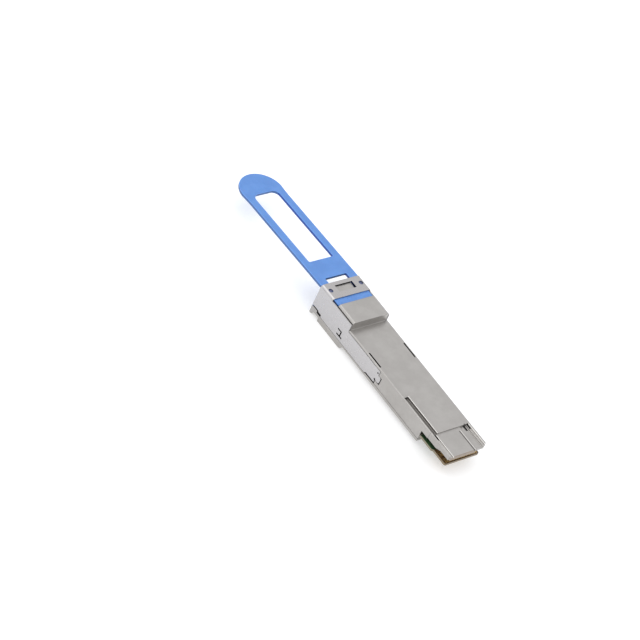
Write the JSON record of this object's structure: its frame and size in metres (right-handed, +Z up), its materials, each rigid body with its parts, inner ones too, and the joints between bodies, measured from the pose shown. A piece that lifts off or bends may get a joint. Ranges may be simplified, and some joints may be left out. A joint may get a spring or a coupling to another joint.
{
  "type": "optical transceiver module",
  "caption": "Pluggable fibre-optic transceiver with a die-cast housing, a sprung sheet-metal release slider with a blue pull tab, a duplex fibre port and a card edge connector",
  "frame": {"origin": "centre of the housing's flat underside", "axes": "+X across the module, +Y along it toward the edge connector, +Z up through the lid"},
  "size_m": [0.0184, 0.1431, 0.0138],
  "materials": {
    "housing_metal": "satin plated die casting, faint speckle",
    "stainless_sheet": "satin rolled sheet",
    "blue_plastic": "light blue, satin moulded",
    "dark_plastic": "black moulded",
    "shielding_foam": "dark conductive foam",
    "zirconia": "white polished ceramic",
    "spring_wire": "bright drawn wire",
    "gold_plate": "gold plated",
    "flex_film": "amber film",
    "thermal_pad": "soft grey-blue pad",
    "board_laminate": "green solder mask over glass laminate",
    "chip_package": "black moulded package",
    "screw_steel": "plain steel"
  },
  "bodies": {
    "module": {"top_housing": "housing_metal", "bottom_housing": "housing_metal", "receptacle_housing": "dark_plastic", "port_gasket": "shielding_foam", "optics_clamp": "housing_metal", "ferrule_sleeve_left": "zirconia", "ferrule_sleeve_right": "zirconia", "return_spring_left": "spring_wire", "return_spring_right": "spring_wire", "transmitter_barrel": "gold_plate", "receiver_barrel": "gold_plate", "transmitter_optics": "gold_plate", "receiver_optics": "gold_plate", "transmitter_flex": "flex_film", "receiver_flex": "flex_film", "optics_thermal_pad": "thermal_pad", "processor_thermal_pad": "thermal_pad", "main_board": "board_laminate", "signal_processor": "chip_package", "laser_driver_chip": "chip_package", "receiver_amplifier_chip": "chip_package", "controller_chip": "chip_package", "power_inductor_1": "dark_plastic", "power_inductor_2": "dark_plastic", "cover_screw_1": "screw_steel", "cover_screw_2": "screw_steel", "cover_screw_3": "screw_steel", "cover_screw_4": "screw_steel"},
    "release_slide": {"release_slider": "stainless_sheet", "pull_tab": "blue_plastic"}
  },
  "joints": [
    {"name": "release_pull", "type": "slide", "parent": "module", "child": "release_slide", "axis": [0, -1, 0], "range_m": [0, 0.0022], "stiffness_N_per_m": 600, "springref_m": -0.003, "deforming": ["return_spring_left", "return_spring_right"]}
  ]
}
